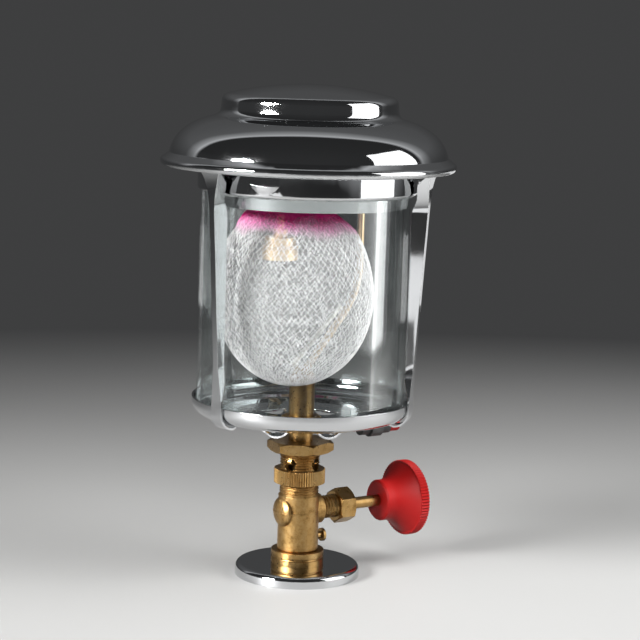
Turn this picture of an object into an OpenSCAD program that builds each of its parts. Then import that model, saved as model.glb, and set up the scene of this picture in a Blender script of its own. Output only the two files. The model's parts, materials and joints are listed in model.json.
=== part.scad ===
// Gas lantern: chromed hood and legs round a glass, knitted mantle on a bent gas pipe, brass valve, foot.
// Frame: +Z up, origin at the middle of the foot, the valve knob points along +X. Millimetres.

/* [Foot] */
// Diameter of the foot plate
foot_d = 47.4; // [40:0.2:56]
// Height of the foot plate
foot_h = 4.3; // [3.6:0.1:6]
// Sheet of the foot plate
foot_sheet = 1.0; // [0.6:0.1:1.4]
// Rounding of the foot plate's upper edge
foot_edge_r = 1.8; // [1.5:0.1:2.4]
// Diameter of the clamp collar on the foot plate
collar_d = 20; // [18:0.2:26]
// Height of the clamp collar
collar_h = 5.2; // [4:0.1:8]

/* [Valve] */
// Diameter of the valve body
valve_d = 15.6; // [15.2:0.1:18]
// Height of the valve body above the collar
valve_h = 21.5; // [19:0.1:26]
// Thread diameter that carries the air ring
thread_d = 15.0; // [13.6:0.1:15.1]
// Bare thread between the valve body and the mixer tube
neck_h = 4.5; // [3:0.1:8]
// Pitch of the threads that show
thread_pitch = 1.1; // [0.8:0.1:1.6]
// Depth of the threads that show
thread_deep = 0.45; // [0.3:0.05:0.6]
// Diameter of the spigot through the foot
spigot_d = 14.0; // [13.4:0.1:15]
// Bore of the cartridge socket
socket_d = 10.3; // [9:0.1:11.4]
// Clear depth of the cartridge socket
socket_l = 8.6; // [7:0.1:9.4]
// Height of the spindle axis above the collar
port_z = 15.0; // [11:0.1:15.4]
// Thread diameter of the side port
port_d = 8.8; // [8:0.1:10.6]
// Bare thread of the side port, outside the valve body
port_bare = 7.9; // [5:0.1:12]
// Diameter of the forged bosses on the valve body
boss_d = 11.6; // [11:0.1:12]
// Reach of the domed rear boss from the valve axis
rear_boss_l = 9.5; // [8.4:0.1:11]
// Height of the bleed screw above the collar
bleed_z = 4.2; // [3.6:0.1:6.4]
// Shank diameter of the bleed screw
bleed_d = 2.6; // [2:0.1:3]
// Head diameter of the bleed screw
bleed_head_d = 5.0; // [4:0.1:6]

/* [Spindle and knob] */
// Diameter of the spindle
spindle_d = 4.5; // [4:0.1:5]
// Thread diameter of the spindle inside the port
spindle_thread_d = 5.8; // [5.2:0.1:6]
// Diameter of the valve needle
needle_d = 2.0; // [1.6:0.1:2.4]
// Width across flats of the gland nut
gland_af = 12; // [11.4:0.1:14]
// Length of the gland nut
gland_l = 6.9; // [6.4:0.1:9]
// Bare spindle between the gland nut and the knob
spindle_bare = 13.3; // [6:0.1:18]
// Diameter of the knob's rim
knob_d = 29.3; // [24:0.2:34]
// Length of the knob
knob_l = 14.9; // [13:0.1:20]
// Diameter of the knob's hub
knob_hub_d = 15.9; // [12:0.1:17]
// Length of the knob's hub
knob_hub_l = 3.0; // [3:0.1:5]
// Width of the knob's rim
knob_rim_l = 3.5; // [3:0.1:5]
// Teeth round the knob's rim
knob_teeth = 76; // [40:1:90]

/* [Mixer] */
// Height of the threaded mixer tube
mixer_h = 12.2; // [11.5:0.1:18]
// Bore of the mixer tube
mixer_bore = 11.2; // [10.4:0.1:12]
// Diameter of the air holes
air_hole_d = 4.9; // [3:0.1:6]
// Height of the air holes above the mixer tube's foot
air_hole_z = 7.6; // [6.5:0.1:8.4]
// Direction of the first air hole
air_hole_angle = 28; // [0:1:89]
// Width across flats of the hex flange
flange_af = 22; // [19:0.1:26]
// Height of the hex flange
flange_h = 4.0; // [3:0.1:6]
// Direction that one flat of the hex flange faces
flange_angle = 51.5; // [0:0.5:59]
// Diameter of the stem between the hex flange and the dish
stem_d = 9.3; // [9:0.1:11]
// Length of that stem
stem_h = 5.0; // [4.6:0.1:9]
// Diameter of the threaded stub through the dish
stub_d = 8.0; // [7.6:0.1:8.4]
// Outer diameter of the air ring
air_ring_d = 19.3; // [18:0.1:24]
// Height of the air ring
air_ring_h = 5.4; // [4:0.1:6]
// Teeth round the air ring
air_ring_teeth = 64; // [30:1:80]

/* [Dish] */
// Diameter of the dish
dish_d = 83; // [82.6:0.1:86]
// Sheet of the dish
dish_sheet = 0.8; // [0.5:0.1:1.0]
// Diameter of the flat middle of the dish
dish_flat_d = 27; // [24:0.1:29]
// Rise of the dish from its middle to the glass ledge
dish_rise = 4.5; // [3.5:0.1:7]
// Height of the dish's wall above the ledge's underside
dish_wall_h = 6.5; // [6:0.1:10]
// Rounding between the dish's floor and its wall
dish_corner_r = 5.0; // [4.8:0.1:5.6]
// Width of the flat ledge inside that rounding
ledge_w = 2.2; // [1.8:0.1:3.4]
// Number of air louvres in the dish
louvre_n = 6; // [3:1:6]
// Width of an air louvre
louvre_w = 11.5; // [8:0.1:12]
// Depth of an air louvre
louvre_depth = 3.0; // [2:0.1:3.2]
// Radius of the louvres' open edges
louvre_r = 20.5; // [20:0.1:23]

/* [Glass] */
// Outer diameter of the glass
glass_d = 79.6; // [78.6:0.1:80]
// Wall of the glass
glass_wall = 1.6; // [1.2:0.1:2]
// Height of the glass
glass_h = 82; // [80:0.1:95]

/* [Glass ring] */
// Diameter of the ring's band
ring_d = 82; // [81:0.1:84]
// Sheet of the ring
ring_sheet = 0.6; // [0.4:0.1:0.8]
// Height of the ring's band above the glass
ring_band_h = 12.4; // [11:0.1:14]
// Length of the lip inside the glass
ring_lip_l = 4.7; // [3:0.1:7]
// Lean of that lip towards the middle
ring_lip_in = 0.8; // [0.3:0.1:1.6]
// Height of the lanced tabs above the glass
tab_z = 4.6; // [4.4:0.1:7]
// Turn from a leg to the next lanced tab
tab_turn = 25; // [20:1:60]

/* [Hood] */
// Outer diameter of the hood's brim
hood_d = 110; // [107:0.2:124]
// Sheet of the hood
hood_sheet = 0.8; // [0.5:0.1:1.0]
// Height of the brim's underside above the glass
hood_lift = 8.7; // [8:0.1:11]
// Diameter of the rolled bead on the brim
bead_d = 3.4; // [2.6:0.1:4]
// Diameter of the domed crown's top
crown_d = 61; // [58:0.2:64]
// Rise of the crown's top
crown_rise = 4.0; // [2:0.1:5]
// Rounding of the crown's edge
crown_edge_r = 3.0; // [2:0.1:4]
// Length of the crown's side
crown_side_l = 3.0; // [2:0.1:6]
// Rounding between the crown and the dome
cove_r = 3.0; // [2:0.1:4]
// Radius of the dome's lower curve
dome_lower_r = 15.0; // [13:0.1:16]

/* [Legs] */
// Sheet of the legs
leg_sheet = 0.6; // [0.4:0.1:0.8]
// Width of a leg's crest
leg_crest_w = 2.6; // [2.2:0.1:4]
// Width of a leg's flared top
leg_top_w = 16; // [10:0.1:20]
// Width of a leg's foot hook
leg_foot_w = 5.7; // [4:0.1:8]
// Reach of a leg's crest outside the glass, at the ring
leg_depth = 7.0; // [5.6:0.1:8]
// Gap between a leg and what it passes
leg_gap = 0.3; // [0.2:0.05:0.5]

/* [Burner] */
// Outer diameter of the burner tube
burner_tube_d = 9.6; // [9.2:0.1:11]
// Height of the burner tube up to its dome
burner_tube_h = 14; // [12:0.1:18]
// Outer diameter of the gas pipe
pipe_d = 2.7; // [2.2:0.1:3]
// Bore of the gas pipe
pipe_bore = 1.6; // [1:0.1:1.8]
// Distance of the gas pipe's riser from the lantern's axis
riser_x = 24.2; // [22:0.1:27]
// Distance of the gas pipe's drop from the lantern's axis
drop_x = 11.3; // [10:0.1:13]
// Lean of the gas pipe where it leaves the burner tube
pipe_lean = 38.5; // [34:0.5:42]
// Bend radius between the leaning pipe and the riser
pipe_bend_r = 30; // [24:0.5:34]
// Height of the pipe's upper bend above the glass
pipe_top = 13.5; // [11:0.1:16]
// Diameter of the burner head
head_d = 13.4; // [11:0.1:15]
// Height of the burner head
head_h = 8.3; // [6:0.1:10]
// Drop of the burner head's top below the glass's top
head_drop = 16.7; // [14:0.1:22]

/* [Mantle] */
// Width of the mantle
mantle_w = 59.8; // [54:0.2:62]
// Depth of the mantle
mantle_depth = 30; // [24:0.2:31]
// Height of the mantle's bag
mantle_h = 70.4; // [66:0.2:72]
// Thickness of the knitted wall
mantle_wall = 0.9; // [0.6:0.1:1.2]
// Height of the mantle's lowest point above the dish's rim
mantle_rise = 5.6; // [4:0.1:8]
// Direction of the mantle's width
mantle_angle = -32; // [-40:1:-26]

/* [Igniter] */
// Diameter of the igniter's body
igniter_d = 5.8; // [5.4:0.1:6.4]
// Length of the igniter's body
igniter_l = 13; // [12:0.1:14]
// Diameter of the push button
button_d = 4.8; // [4:0.1:5]
// Reach of the button outside the body
button_reach = 4.8; // [4.6:0.1:7]
// Travel of the button
button_travel = 4.0; // [2:0.1:4.2]
// Diameter of the electrode's insulator
insulator_d = 1.9; // [1.6:0.1:2.4]

/* [Hidden] */
$fn = 64;

// Clearances
slip = 0.05;
loose = 0.1;
seat_gap = 0.2;
cut = 1;

// Heights along the axis, from the foot up
z_collar = foot_h;
z_valve = z_collar + collar_h;
z_port = z_valve + port_z;
z_neck = z_valve + valve_h;
z_mixer = z_neck + neck_h;
z_flange = z_mixer + mixer_h;
z_stem = z_flange + flange_h;
z_washer = z_stem + stem_h;
washer_h = 0.8;
z_dish = z_washer + washer_h;
z_ledge = z_dish + dish_rise;
z_rim = z_ledge + dish_wall_h;
dish_rounding_r = dish_d / 2 - dish_corner_r;
glass_edge = 0.5;
dish_inner_r = dish_corner_r - dish_sheet;
glass_seat_h = dish_corner_r - sqrt(pow(dish_inner_r, 2) - pow(glass_d / 2 - dish_rounding_r, 2));
z_glass = z_ledge + glass_seat_h - glass_edge + slip;
z_top = z_glass + glass_h;
nut_h = 3.0;
z_burner = z_dish + dish_sheet + nut_h;

// Radii that several pieces share
glass_r = glass_d / 2;
dish_r = dish_d / 2;
ring_r = ring_d / 2;
valve_r = valve_d / 2;
thread_r = thread_d / 2;
spigot_r = spigot_d / 2;
stub_r = stub_d / 2;
pipe_r = pipe_d / 2;
brim_in = 3.2;

// Directions of the first leg and the first louvre
leg_angle = 71;
louvre_angle = 30;

// Colours, as seen
CHROME = [0.78, 0.79, 0.80];
BRASS = [0.79, 0.66, 0.36];
STEEL = [0.70, 0.70, 0.70];
RED = [0.78, 0.06, 0.05];
RUBBER = [0.08, 0.08, 0.08];
CERAMIC = [0.92, 0.90, 0.84];
CLOTH = [0.93, 0.92, 0.90];
CLEAR = [0.85, 0.92, 0.94, 0.3];

// Points, arcs and bent sheet in a radius and height plane
function dir(a) = [cos(a), sin(a)];
function last(p) = p[len(p) - 1];
function convex(p, n0, n1, r, k = 8) = [for (i = [1:k]) p - r * dir(n0) + r * dir(n0 + (n1 - n0) * i / k)];
function concave(p, n0, n1, r, k = 6) = [for (i = [1:k]) p + r * dir(n0) - r * dir(n0 + (n1 - n0) * i / k)];
function along(p, i) = p[min(i + 1, len(p) - 1)] - p[max(i - 1, 0)];
function left_of(v) = [-v[1], v[0]] / norm(v);
function off_side(p, i, t) = let (q = p[i] + t * left_of(along(p, i))) [max(0, q[0]), q[1]];
function sheet(p, t) = concat(p, [for (i = [len(p) - 1:-1:0]) off_side(p, i, t)]);

// A thread's outline as ridges, from z0 to z1 at radius r
function ridge_step(z0, z1) = (z1 - z0) / max(1, floor((z1 - z0) / thread_pitch));
function ridges(r, z0, z1) = let (h = ridge_step(z0, z1))
    concat([for (z = [z0:h:z1 - h / 2]) each [[r, z], [r - thread_deep, z + h / 2]]], [[r, z1]]);

// A ring with straight teeth, as a flat outline
function toothed(r, n, depth) = [for (i = [0:2 * n - 1]) (r - (i % 2) * depth) * dir(180 * i / n)];

// Lays a shape that was made along +Z down along +X at the spindle's height
module on_port() translate([0, 0, z_port]) rotate([0, 90, 0]) children();

// A round rod between two points
module rod(a, b, r) {
    v = b - a;
    translate(a) rotate([0, acos(v[2] / norm(v)), atan2(v[1], v[0])]) cylinder(r = r, h = norm(v));
}

// A round ring, standing on z
module ring(ro, ri, z, h) {
    difference() {
        translate([0, 0, z]) cylinder(r = ro, h = h);
        translate([0, 0, z - cut]) cylinder(r = ri, h = h + 2 * cut);
    }
}

// A hexagon bar with both ends chamfered, standing on z, one flat facing along +X
module hex(af, z, h, chamfer = 0.6) {
    corner = af / cos(30) / 2;
    intersection() {
        translate([0, 0, z]) rotate([0, 0, 30]) cylinder(r = corner, h = h, $fn = 6);
        translate([0, 0, z]) rotate_extrude() polygon([[0, 0], [corner - 1.8 * chamfer, 0], [corner, chamfer],
            [corner, h - chamfer], [corner - 1.8 * chamfer, h], [0, h]]);
    }
}

// Foot plate, collar and nut
module foot_plate() {
    r = foot_d / 2;
    edge = convex([r - foot_edge_r, foot_h], 90, 0, foot_edge_r);
    path = concat([[spigot_r + loose, foot_h]], [[r - foot_edge_r, foot_h]], edge, [[r, 0]]);
    color(CHROME) rotate_extrude() polygon(sheet(path, -foot_sheet));
}

module foot_collar() {
    r = collar_d / 2;
    groove = 0.5;
    color(BRASS) difference() {
        ring(r, spigot_r + slip, z_collar, collar_h);
        translate([0, 0, z_collar + collar_h / 2]) rotate_extrude() translate([r, 0]) circle(r = groove);
    }
}

module foot_nut() {
    slot_w = 2.4;
    slot_l = 1.6;
    h = foot_h - foot_sheet;
    r = collar_d / 2;
    color(BRASS) difference() {
        ring(r, spigot_r + slip, 0, h);
        for (a = [0, 180]) rotate([0, 0, a]) translate([r - slot_l, -slot_w / 2, -cut])
            cube([r, slot_w, h / 2 + cut]);
    }
}

// Valve body: socket below, side port along +X, domed boss behind, threaded neck above
jet_r = 2.6;
jet_l = 4.6;
neck_spigot_r = mixer_bore / 2 - slip;
seal_h = 1.8;
seal_bore_r = 2.5;
seal_bite = 0.2;
seal_r = socket_d / 2 + seal_bite;
web_z = socket_l + seal_h;
web_h = 2.2;
cavity_h = 2.4;
jet_room = 3.6;
pin_r = 0.8;
pin_inset = 0.4;
web_hole_r = 0.5;
web_hole_x = 1.7;
gas_way_r = 1.4;
cross_way_r = 1.1;
way_roof = 0.4;
seat_x = 2.6;
inlet_x = -3.0;
inlet_z = web_z + web_h + way_roof;
outlet_x = 4.6;
gland_x = valve_r + port_bare;
gland_grip = 3.3;
port_l = gland_x + gland_grip;
port_bore_r = spindle_thread_d / 2 + loose;

module valve_outside() {
    edge = 0.5;
    rotate_extrude() polygon(concat([[0, 0], [spigot_r, 0], [spigot_r, z_valve], [valve_r - edge, z_valve],
        [valve_r, z_valve + edge], [valve_r, z_neck - valve_r + thread_r]], ridges(thread_r, z_neck, z_mixer),
        [[neck_spigot_r, z_mixer], [neck_spigot_r, z_mixer + jet_l], [0, z_mixer + jet_l]]));
    boss_l = valve_r + 0.9;
    thread_from = boss_l + 0.4;
    on_port() cylinder(d = boss_d, h = boss_l);
    on_port() rotate_extrude() polygon(concat([[0, 0], [port_d / 2, 0]],
        ridges(port_d / 2, thread_from, gland_x), [[port_d / 2, port_l], [0, port_l]]));
    dome_h = 2.5;
    on_port() rotate_extrude() polygon(concat([[0, 0]], [for (a = [0:15:75])
        [boss_d / 2 * cos(a), -rear_boss_l + dome_h - dome_h * sin(a)]], [[0, -rear_boss_l]]));
    seam_t = 0.35;
    seam_out = 0.15;
    translate([0, 0, z_port - seam_t / 2]) cylinder(r = valve_r + seam_out, h = seam_t);
    dome = [for (a = [0:15:75]) [dome_h - rear_boss_l - dome_h * sin(a), boss_d / 2 * cos(a)]];
    translate([0, 0, z_port - seam_t / 2]) linear_extrude(seam_t) offset(delta = seam_out)
        polygon(concat([[0, boss_d / 2]], dome, [for (i = [len(dome) - 1:-1:0]) [dome[i][0], -dome[i][1]]],
        [[0, -boss_d / 2]]));
}

module valve_body() {
    color(BRASS) difference() {
        valve_outside();
        translate([0, 0, -cut]) cylinder(d = socket_d, h = socket_l + 2 * cut);
        translate([0, 0, socket_l]) cylinder(r = seal_r + slip, h = seal_h);
        translate([0, 0, web_z - cut]) cylinder(r = pin_r + slip / 2, h = web_h + 2 * cut);
        for (a = [90:120:330]) rotate([0, 0, a]) translate([web_hole_x, 0, web_z - cut])
            cylinder(r = web_hole_r, h = web_h + 2 * cut);
        translate([0, 0, web_z + web_h]) cylinder(d = socket_d / 2, h = cavity_h);
        translate([inlet_x, 0, inlet_z]) cylinder(r = gas_way_r, h = z_port + cut - inlet_z);
        on_port() translate([0, 0, inlet_x]) cylinder(r = gas_way_r / 2, h = seat_x - inlet_x + cut);
        on_port() translate([0, 0, seat_x]) cylinder(r = port_bore_r, h = port_l);
        translate([outlet_x, 0, z_port]) cylinder(r = gas_way_r, h = z_mixer - z_port - cut);
        translate([0, 0, z_mixer - jet_room]) cylinder(r = jet_r + slip, h = jet_l + jet_room + cut);
        translate([outlet_x / 2, 0, z_mixer - jet_room / 2]) rotate([0, 90, 0])
            cylinder(r = cross_way_r, h = outlet_x / 2);
        translate([cavity_h / 2, 0, z_valve + bleed_z]) rotate([0, 90, 0])
            cylinder(d = bleed_d + 2 * slip, h = valve_r);
    }
}

module socket_seal() color(RUBBER) ring(seal_r, seal_bore_r, socket_l, seal_h);

module depressor_pin() {
    tip = socket_l + pin_inset;
    color(STEEL) translate([0, 0, tip]) cylinder(r = pin_r, h = web_z + web_h - tip);
}

// Screw-in jet under the mixer tube's throat
jet_hex_h = 2.2;
jet_af = 7;
module gas_jet() {
    foot = z_mixer - way_roof;
    shoulder = z_mixer + jet_l;
    tip_r = 1.5;
    tip_l = 1.8;
    orifice_r = 0.3;
    color(BRASS) difference() {
        union() {
            translate([0, 0, foot]) cylinder(r = jet_r, h = shoulder - foot + jet_hex_h / 2);
            hex(jet_af, shoulder, jet_hex_h, 0.4);
            translate([0, 0, shoulder + jet_hex_h / 2]) cylinder(r = tip_r, h = tip_l + jet_hex_h / 2);
        }
        translate([0, 0, foot - cut]) cylinder(r = jet_r / 2, h = jet_l + cut);
        translate([0, 0, foot]) cylinder(r = orifice_r, h = jet_l + jet_hex_h + tip_l + 2 * cut);
    }
}

module bleed_screw() {
    shank_l = valve_r + 2.5;
    inside_l = 4.2;
    head_h = 1.7;
    color(BRASS) translate([0, 0, z_valve + bleed_z]) rotate([0, 90, 0]) {
        translate([0, 0, valve_r - inside_l]) cylinder(d = bleed_d, h = shank_l - valve_r + inside_l);
        intersection() {
            translate([0, 0, shank_l]) cylinder(d = bleed_head_d, h = head_h);
            translate([0, 0, shank_l + head_h - bleed_head_d]) sphere(r = bleed_head_d);
        }
    }
}

// Spindle group: a loose needle in the end of a screwed spindle, gland and knob
needle_l = 8;
needle_tip_l = 2.4;
needle_tip_x = 1.8;
spindle_x = 4.6;
spindle_thread_l = 7;
knob_x = gland_x + gland_l + spindle_bare;
knob_web = 5;
knob_grip = knob_l - knob_web;
packing_h = 1.3;

module valve_needle() {
    r = needle_d / 2;
    color(STEEL) on_port() rotate_extrude() polygon([[0, needle_tip_x], [0.3, needle_tip_x],
        [r, needle_tip_x + needle_tip_l], [r, needle_tip_x + needle_l], [0, needle_tip_x + needle_l]]);
}

module spindle() {
    r = spindle_d / 2;
    bore_r = needle_d / 2 + slip;
    bore_end = needle_tip_x + needle_l + seat_gap;
    color(BRASS) on_port() difference() {
        union() {
            translate([0, 0, spindle_x]) cylinder(d = spindle_thread_d, h = spindle_thread_l);
            translate([0, 0, spindle_x]) cylinder(r = r, h = knob_x + knob_grip - spindle_x);
        }
        translate([0, 0, spindle_x - cut]) cylinder(r = bore_r, h = bore_end - spindle_x + cut);
    }
}

module gland_packing() {
    color(RUBBER) on_port() ring(port_d / 2 - loose, spindle_d / 2 + slip, port_l, packing_h);
}

module gland_nut() {
    color(BRASS) on_port() difference() {
        rotate([0, 0, 30]) hex(gland_af, gland_x, gland_l, 0.7);
        translate([0, 0, gland_x - cut])
            cylinder(r = port_d / 2 + slip, h = gland_grip + packing_h + loose + cut);
        cylinder(r = spindle_d / 2 + slip, h = gland_x + gland_l + cut);
    }
}

knob_recess = 2.6;
knob_rim_w = 3;
knob_screw_r = 1.2;
knob_screw_head_r = 3.0;
module knob() {
    rim = knob_d / 2;
    tooth = 0.5;
    waist = knob_hub_d / 2;
    flare_l = knob_l - knob_hub_l - knob_rim_l;
    flare_r = rim - 2 * tooth - waist;
    flare_power = 1.8;
    flare = [for (i = [0:9]) [waist + flare_r * pow(i / 9, flare_power), knob_hub_l + flare_l * i / 9]];
    hub_edge = 0.6;
    recess_r = rim - knob_rim_w;
    recess_floor_r = recess_r - 1;
    color(RED) on_port() translate([0, 0, knob_x]) difference() {
        union() {
            rotate_extrude() polygon(concat([[0, 0], [waist - hub_edge, 0], [waist, hub_edge]], flare,
                [[rim - 2 * tooth, knob_l - tooth], [0, knob_l - tooth]]));
            translate([0, 0, knob_l - knob_rim_l]) linear_extrude(knob_rim_l)
                polygon(toothed(rim, knob_teeth, tooth));
        }
        translate([0, 0, -cut]) cylinder(r = spindle_d / 2 + slip, h = knob_grip + seat_gap + cut);
        cylinder(r = knob_screw_r + slip, h = knob_l + cut);
        translate([0, 0, knob_l - knob_recess])
            cylinder(r1 = recess_floor_r, r2 = recess_r, h = knob_recess + slip);
    }
}

module knob_screw() {
    head_h = 1.6;
    seat = knob_x + knob_l - knob_recess;
    shank_l = seat - knob_x - knob_grip - seat_gap;
    slot_w = 0.8;
    color(STEEL) on_port() difference() {
        union() {
            translate([0, 0, seat - shank_l]) cylinder(r = knob_screw_r, h = shank_l);
            intersection() {
                translate([0, 0, seat]) cylinder(r = knob_screw_head_r, h = head_h);
                translate([0, 0, seat + head_h - 2 * knob_screw_head_r]) sphere(r = 2 * knob_screw_head_r);
            }
        }
        translate([-knob_screw_head_r, -slot_w / 2, seat + head_h / 2])
            cube([2 * knob_screw_head_r, slot_w, head_h]);
    }
}

// Mixer tube with air holes, hex flange, stem and the stub that takes the dish
throat_r = 3.0;
throat_l = 3.0;
throat_gap = 0.3;
stub_l = 6.4;
module mixer_tube() {
    z_end = z_washer + washer_h + dish_sheet + stub_l;
    throat_z = z_mixer + air_hole_z + air_hole_d / 2 + throat_gap;
    color(BRASS) difference() {
        union() {
            rotate_extrude() polygon(concat([[0, z_mixer]], ridges(thread_r, z_mixer, z_flange),
                [[thread_r, z_flange + flange_h / 2], [0, z_flange + flange_h / 2]]));
            rotate([0, 0, flange_angle]) hex(flange_af, z_flange, flange_h, 0.8);
            translate([0, 0, z_flange + flange_h / 2]) cylinder(d = stem_d, h = stem_h + flange_h / 2);
            translate([0, 0, z_stem]) cylinder(r = stub_r, h = z_end - z_stem);
        }
        rotate_extrude() polygon([[0, z_mixer - cut], [mixer_bore / 2, z_mixer - cut],
            [mixer_bore / 2, throat_z], [throat_r, throat_z + throat_l],
            [throat_r, z_end + cut], [0, z_end + cut]]);
        for (i = [0:3]) rotate([0, 0, air_hole_angle + 90 * i])
            translate([mixer_bore / 3, 0, z_mixer + air_hole_z]) rotate([0, 90, 0])
            cylinder(d = air_hole_d, h = thread_d);
    }
}

module air_ring() {
    tooth = 0.45;
    color(BRASS) difference() {
        translate([0, 0, z_mixer]) linear_extrude(air_ring_h)
            polygon(toothed(air_ring_d / 2, air_ring_teeth, tooth));
        translate([0, 0, z_mixer - cut]) cylinder(r = thread_r + loose, h = air_ring_h + 2 * cut);
    }
}

washer_w = 1.8;
module dish_washer() color(BRASS) ring(stem_d / 2 + washer_w, stub_r + loose, z_washer, washer_h);

// Dish with a sloping floor, a glass ledge and half-round air louvres pressed downwards
ledge_step = 1.0;
floor_edge_r = dish_rounding_r - ledge_w - ledge_step;
floor_slope = (dish_rise - ledge_step) / (floor_edge_r - dish_flat_d / 2);
function floor_z(r) = z_dish + max(0, r - dish_flat_d / 2) * floor_slope;

module dish_shell() {
    corner = [dish_rounding_r, z_ledge + dish_corner_r];
    path = concat([[stub_r + loose, z_dish], [dish_flat_d / 2, z_dish], [floor_edge_r, z_ledge - ledge_step],
        [floor_edge_r + ledge_step, z_ledge]], [for (a = [-90:10:0]) corner + dish_corner_r * dir(a)],
        [[dish_r, z_rim]]);
    rotate_extrude() polygon(sheet(path, dish_sheet));
}

louvre_ball_r = (pow(louvre_w / 2, 2) + pow(louvre_depth, 2)) / (2 * louvre_depth);
louvre_ball_z = floor_z(louvre_r) + louvre_ball_r - louvre_depth;
module louvre_ball(r) translate([louvre_r, 0, louvre_ball_z]) sphere(r = r);
module louvre_side() translate([louvre_r - louvre_w, -louvre_w, z_dish - 2 * louvre_w])
    cube([louvre_w, 2 * louvre_w, 2 * louvre_w + floor_z(louvre_r) - z_dish + dish_sheet / 2]);
module louvre_below() {
    inner = dish_flat_d / 2 - 2;
    outer = louvre_r + 1;
    rotate_extrude() polygon([[inner, z_dish + dish_sheet / 2], [outer, floor_z(outer) + dish_sheet / 2],
        [outer, z_dish - louvre_w], [inner, z_dish - louvre_w]]);
}

electrode_below = 2.4;
electrode_foot_v = 11;
electrode_bend_u = 2.9;
electrode_bend_v = 7.5;
electrode_bend_h = 22.5;
electrode_tip_u = 15.5;
electrode_tip_v = 6.5;
electrode_tip_h = 47.5;
electrode_bare = 3;
electrode_foot = [0, electrode_foot_v, z_dish - electrode_below];
electrode_bend = [-electrode_bend_u, electrode_bend_v, z_dish + electrode_bend_h];
electrode_tip = [electrode_tip_u, electrode_tip_v, z_dish + electrode_tip_h];
electrode_down = (electrode_foot - electrode_bend) / norm(electrode_foot - electrode_bend);
electrode_up = (electrode_tip - electrode_bend) / norm(electrode_tip - electrode_bend);
module electrode(r, below, short) {
    rotate([0, 0, mantle_angle]) {
        rod(electrode_foot + below * electrode_down, electrode_bend, r);
        translate(electrode_bend) sphere(r = 1.03 * r);
        rod(electrode_bend, electrode_tip - short * electrode_up, r);
    }
}

module dish() {
    color(CHROME) {
        difference() {
            dish_shell();
            for (i = [0:louvre_n - 1]) rotate([0, 0, louvre_angle + 360 * i / louvre_n]) intersection() {
                louvre_ball(louvre_ball_r - dish_sheet);
                translate([0, 0, louvre_w]) louvre_side();
            }
            electrode(insulator_d / 2 + slip, cut, 0);
        }
        for (i = [0:louvre_n - 1]) rotate([0, 0, louvre_angle + 360 * i / louvre_n]) intersection() {
            difference() {
                louvre_ball(louvre_ball_r);
                louvre_ball(louvre_ball_r - dish_sheet);
            }
            louvre_side();
            louvre_below();
        }
    }
}

lock_nut_af = stub_d + 5;
module dish_lock_nut() {
    color(BRASS) difference() {
        hex(lock_nut_af, z_dish + dish_sheet, nut_h, 0.5);
        translate([0, 0, z_dish]) cylinder(r = stub_r + slip, h = nut_h + 2);
    }
}

// Burner tube with a domed end, and the gas pipe that rises beside the mantle and drops into it
tube_r = burner_tube_d / 2;
z_dome = z_burner + burner_tube_h;
z_lean = z_dome + 1.6;
bend_start = [riser_x - pipe_bend_r * (1 - cos(pipe_lean)), 0];
z_bend_start = z_lean + bend_start[0] / tan(pipe_lean);
z_riser = z_bend_start + pipe_bend_r * sin(pipe_lean);
z_upper_bend = z_top + pipe_top;
upper_bend_r = (riser_x + drop_x) / 2;
z_head = z_top - head_drop;
lean = [sin(pipe_lean), 0, cos(pipe_lean)];
lean_from = tube_r - 2.6;

module burner_tube() {
    color(BRASS) difference() {
        union() {
            translate([0, 0, z_burner]) cylinder(r = tube_r, h = burner_tube_h);
            translate([0, 0, z_dome]) sphere(r = tube_r);
        }
        translate([0, 0, z_burner - cut]) cylinder(r = stub_r + slip, h = burner_tube_h + cut);
        translate([0, 0, z_dome]) sphere(r = stub_r + slip);
        rod([0, 0, z_lean], [0, 0, z_lean] + 2 * tube_r * lean, pipe_r + slip);
    }
}

module bent_pipe(r) {
    start = [0, 0, z_lean] + lean_from * lean;
    joint_r = 1.03 * r;
    translate([bend_start[0], 0, z_bend_start]) sphere(r = joint_r);
    translate([riser_x, 0, z_riser]) sphere(r = joint_r);
    translate([riser_x, 0, z_upper_bend]) sphere(r = joint_r);
    translate([-drop_x, 0, z_upper_bend]) sphere(r = joint_r);
    rod(start, [bend_start[0], 0, z_bend_start], r);
    translate([riser_x - pipe_bend_r, 0, z_riser]) rotate([90, 0, 0]) rotate([0, 0, -pipe_lean])
        rotate_extrude(angle = pipe_lean) translate([pipe_bend_r, 0]) circle(r = r);
    translate([riser_x, 0, z_riser]) cylinder(r = r, h = z_upper_bend - z_riser);
    translate([riser_x - upper_bend_r, 0, z_upper_bend]) rotate([90, 0, 0])
        rotate_extrude(angle = 180) translate([upper_bend_r, 0]) circle(r = r);
    translate([-drop_x, 0, z_head + seat_gap]) cylinder(r = r, h = z_upper_bend - z_head - seat_gap);
}

module gas_pipe() {
    color(BRASS) difference() {
        bent_pipe(pipe_r);
        bent_pipe(pipe_bore / 2);
        translate([-drop_x, 0, z_head]) cylinder(d = pipe_bore, h = 2 * cut);
    }
}

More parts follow.
